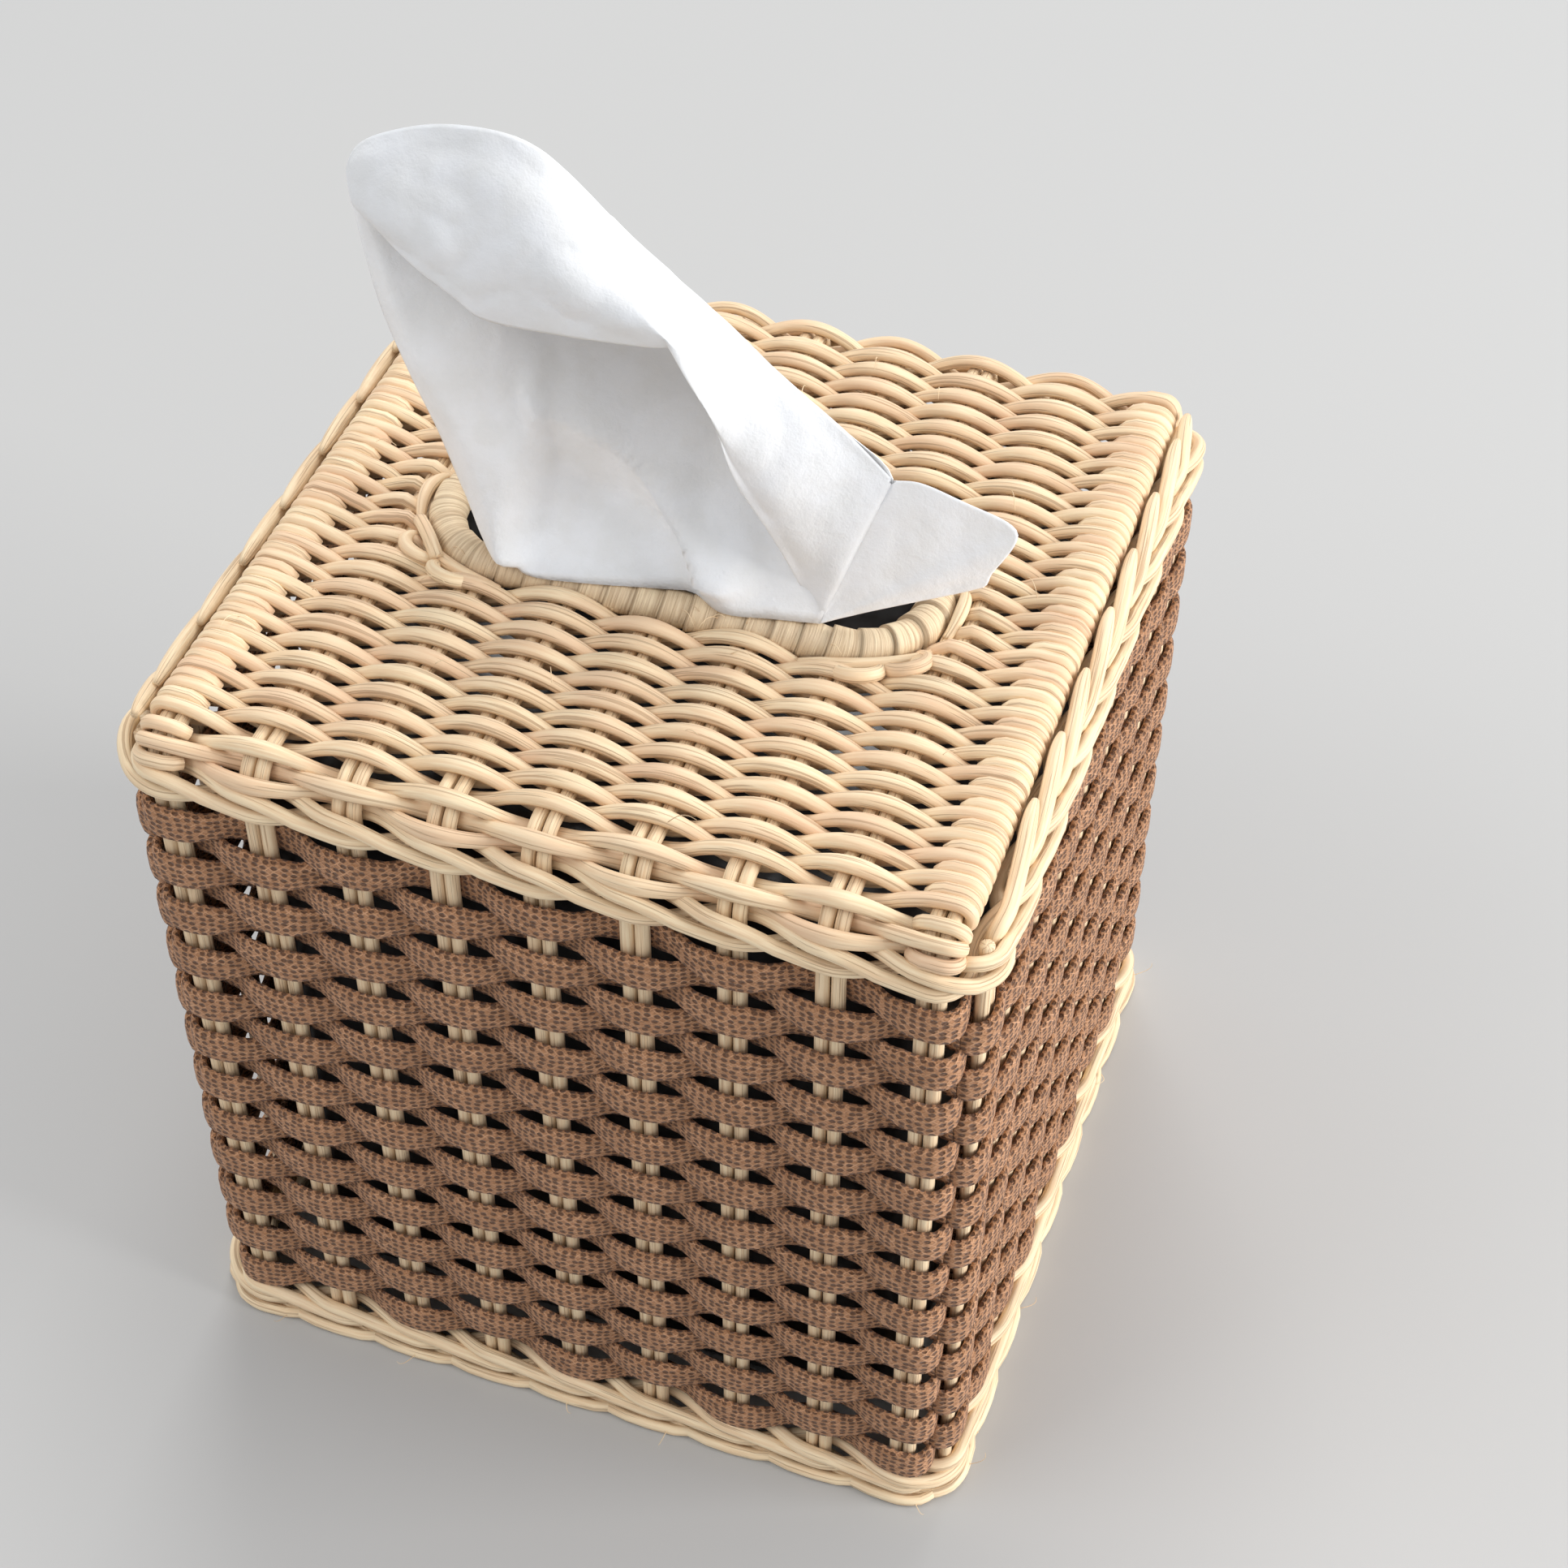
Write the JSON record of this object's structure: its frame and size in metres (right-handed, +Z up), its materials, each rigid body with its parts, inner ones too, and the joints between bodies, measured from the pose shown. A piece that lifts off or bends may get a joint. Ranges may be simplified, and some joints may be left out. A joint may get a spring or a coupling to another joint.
{
  "type": "woven tissue box cover",
  "caption": "Woven cube tissue box cover: strip-woven walls on paired rattan stakes, rattan lid with a lapped oval slot ring, and a drawn tissue.",
  "frame": {"origin": "centre of the cover's outline on the surface it stands on", "axes": "+Z up, +X along the slot to the right as seen from the front wall, -Y out of the front wall"},
  "size_m": [0.146, 0.142, 0.2233],
  "materials": {
    "rattan": "satin",
    "peel": "satin",
    "strip": "matte",
    "tissue": "matte",
    "film": "gloss"
  },
  "bodies": {
    "root": {"front_strip_weave": "strip", "back_strip_weave": "strip", "left_strip_weave": "strip", "right_strip_weave": "strip", "through_stakes": "rattan", "left_stakes": "rattan", "right_stakes": "rattan", "lid_front_weave": "rattan", "lid_back_weave": "rattan", "lid_left_weave": "rattan", "lid_right_weave": "rattan", "rim_wale": "rattan", "foot_wale": "rattan", "foot_border": "rattan", "slot_ring": "peel", "tissue_pack": "film", "drawn_tissue": "tissue"}
  },
  "joints": []
}
